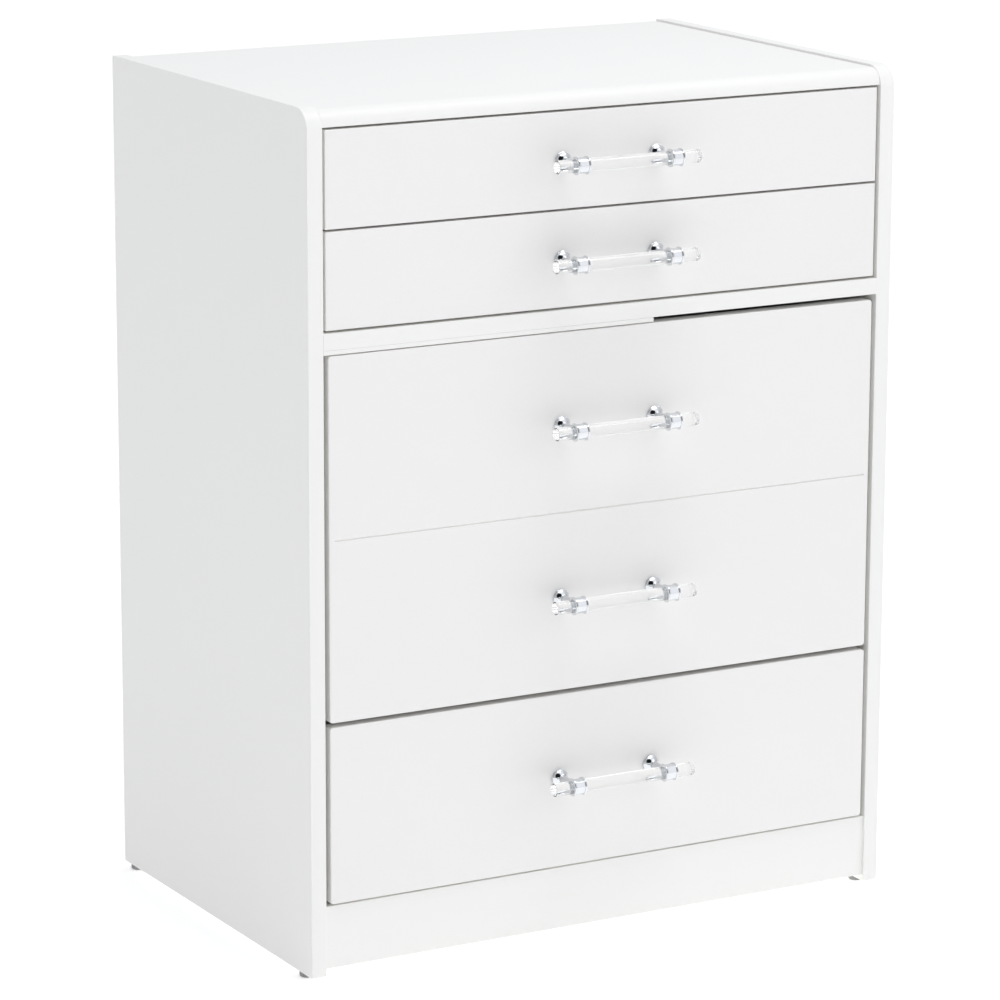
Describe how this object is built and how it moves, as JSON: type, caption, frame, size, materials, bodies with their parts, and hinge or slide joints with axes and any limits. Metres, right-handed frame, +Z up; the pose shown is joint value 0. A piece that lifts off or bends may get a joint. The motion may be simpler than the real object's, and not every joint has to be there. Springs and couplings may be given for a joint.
{
  "type": "chest of drawers",
  "caption": "Tall white chest of drawers with shallow drawers over a shelf, a double-height drawer, a bottom drawer, a plinth and clear rod pulls.",
  "frame": {"origin": "on the floor, in the middle of the footprint box with the pulls counted", "axes": "+X to the right as the drawers face the user, +Y to the back, +Z up; the drawers open towards -Y"},
  "size_m": [0.6, 0.4352, 0.78],
  "materials": {
    "white_board": "white melamine-faced board with matching edge band, satin",
    "white_front": "white lacquered board, smooth semi-gloss",
    "base_sheet": "thin hardboard with white paper foil",
    "clear_acrylic": "clear polished acrylic",
    "chrome": "bright chrome plate",
    "zinc_steel": "bright zinc-plated pressed steel",
    "grey_plastic": "moulded grey plastic",
    "beech": "plain beech, fluted dowel rod"
  },
  "bodies": {
    "cabinet": {"left_side_panel": "white_board", "right_side_panel": "white_board", "top_panel": "white_board", "fixed_shelf": "white_board", "bottom_panel": "white_board", "plinth_board": "white_board", "back_panel": "base_sheet", "stop_strip": "white_board", "foot_glides": "grey_plastic", "cam_locks": "zinc_steel", "cam_bolts": "zinc_steel", "wood_dowels": "beech", "small_cabinet_rails": "zinc_steel", "big_cabinet_rails": "zinc_steel", "cabinet_rail_screws": "zinc_steel"},
    "top_drawer": {"top_drawer_front": "white_front", "top_drawer_left_side": "white_board", "top_drawer_right_side": "white_board", "top_drawer_back": "white_board", "top_drawer_base": "base_sheet", "top_drawer_pull_rod": "clear_acrylic", "top_drawer_pull_posts": "chrome", "top_drawer_pull_screws": "zinc_steel", "top_drawer_rails": "zinc_steel", "top_drawer_rail_screws": "zinc_steel"},
    "second_drawer": {"second_drawer_front": "white_front", "second_drawer_left_side": "white_board", "second_drawer_right_side": "white_board", "second_drawer_back": "white_board", "second_drawer_base": "base_sheet", "second_drawer_pull_rod": "clear_acrylic", "second_drawer_pull_posts": "chrome", "second_drawer_pull_screws": "zinc_steel", "second_drawer_rails": "zinc_steel", "second_drawer_rail_screws": "zinc_steel"},
    "deep_drawer": {"deep_drawer_front": "white_front", "deep_drawer_left_side": "white_board", "deep_drawer_right_side": "white_board", "deep_drawer_back": "white_board", "deep_drawer_base": "base_sheet", "deep_drawer_pull_rod": "clear_acrylic", "deep_drawer_pull_posts": "chrome", "deep_drawer_pull_screws": "zinc_steel", "deep_drawer_rails": "zinc_steel", "deep_drawer_rail_screws": "zinc_steel"},
    "bottom_drawer": {"bottom_drawer_front": "white_front", "bottom_drawer_left_side": "white_board", "bottom_drawer_right_side": "white_board", "bottom_drawer_back": "white_board", "bottom_drawer_base": "base_sheet", "bottom_drawer_pull_rod": "clear_acrylic", "bottom_drawer_pull_posts": "chrome", "bottom_drawer_pull_screws": "zinc_steel", "bottom_drawer_rails": "zinc_steel", "bottom_drawer_rail_screws": "zinc_steel"},
    "deep_runners": {"deep_drawer_middle_rails": "zinc_steel"},
    "bottom_runners": {"bottom_drawer_middle_rails": "zinc_steel"}
  },
  "joints": [
    {"name": "top_drawer_slide", "type": "slide", "parent": "cabinet", "child": "top_drawer", "axis": [0, -1, 0], "range_m": [0, 0.255]},
    {"name": "second_drawer_slide", "type": "slide", "parent": "cabinet", "child": "second_drawer", "axis": [0, -1, 0], "range_m": [0, 0.255]},
    {"name": "deep_drawer_slide", "type": "slide", "parent": "cabinet", "child": "deep_drawer", "axis": [0, -1, 0], "range_m": [0, 0.35]},
    {"name": "bottom_drawer_slide", "type": "slide", "parent": "cabinet", "child": "bottom_drawer", "axis": [0, -1, 0], "range_m": [0, 0.35]},
    {"name": "deep_runner_slide", "type": "slide", "parent": "cabinet", "child": "deep_runners", "axis": [0, -1, 0], "range_m": [0, 0.175]},
    {"name": "bottom_runner_slide", "type": "slide", "parent": "cabinet", "child": "bottom_runners", "axis": [0, -1, 0], "range_m": [0, 0.175]}
  ],
  "couplings": [
    {"joint": "deep_runner_slide", "follows": "deep_drawer_slide", "ratio": 0.5},
    {"joint": "bottom_runner_slide", "follows": "bottom_drawer_slide", "ratio": 0.5}
  ]
}
